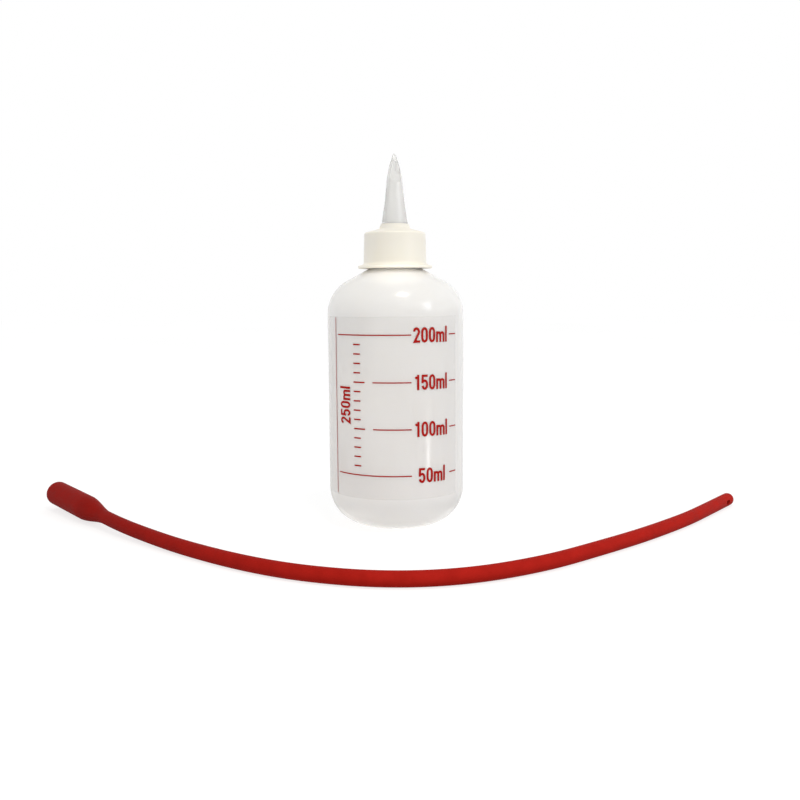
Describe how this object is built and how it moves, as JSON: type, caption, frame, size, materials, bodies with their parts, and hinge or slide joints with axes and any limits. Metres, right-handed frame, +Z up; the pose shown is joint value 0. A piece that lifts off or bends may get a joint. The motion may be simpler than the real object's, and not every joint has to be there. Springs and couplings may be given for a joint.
{
  "type": "squeeze feeding bottle with a feeding tube",
  "caption": "Translucent squeeze bottle with a graduated scale, a screw cap holding a tapered nozzle, and a loose soft rubber feeding tube that lies in front of it.",
  "frame": {"origin": "centre of the bottle's base, on the surface that it stands on", "axes": "+Z up along the bottle's axis, -Y towards the front of the printed scale, +X to the right seen from the front"},
  "size_m": [0.3305, 0.1309, 0.1629],
  "materials": {
    "bottle_plastic": "translucent natural LDPE, satin",
    "label_film": "clear film, printed in red",
    "cap_plastic": "cream moulded polyethylene, low gloss",
    "nozzle_plastic": "clear to milky moulded LDPE",
    "tube_rubber": "matte red latex rubber"
  },
  "bodies": {
    "bottle": {"bottle": "bottle_plastic", "scale_label": "label_film"},
    "nozzle": {"nozzle": "nozzle_plastic"},
    "screw_cap": {"screw_cap": "cap_plastic"},
    "tube": {"tube_funnel": "tube_rubber", "tube_shaft": "tube_rubber", "tube_tip": "tube_rubber"}
  },
  "joints": [
    {"name": "nozzle_lift", "type": "slide", "parent": "bottle", "child": "nozzle", "axis": [0, 0, 1], "range_m": [0, 0.0048]},
    {"name": "cap_turn", "type": "hinge", "parent": "nozzle", "child": "screw_cap", "pos_m": [0, 0, 0.12], "axis": [0, 0, 1], "range_deg": [0, 540]},
    {"name": "tube_lift", "type": "slide", "parent": "bottle", "child": "tube", "axis": [0, 0, 1], "range_m": [0, 0.15]}
  ],
  "couplings": [
    {"joint": "nozzle_lift", "follows": "cap_turn", "m_per_rad": 0.00050532}
  ]
}
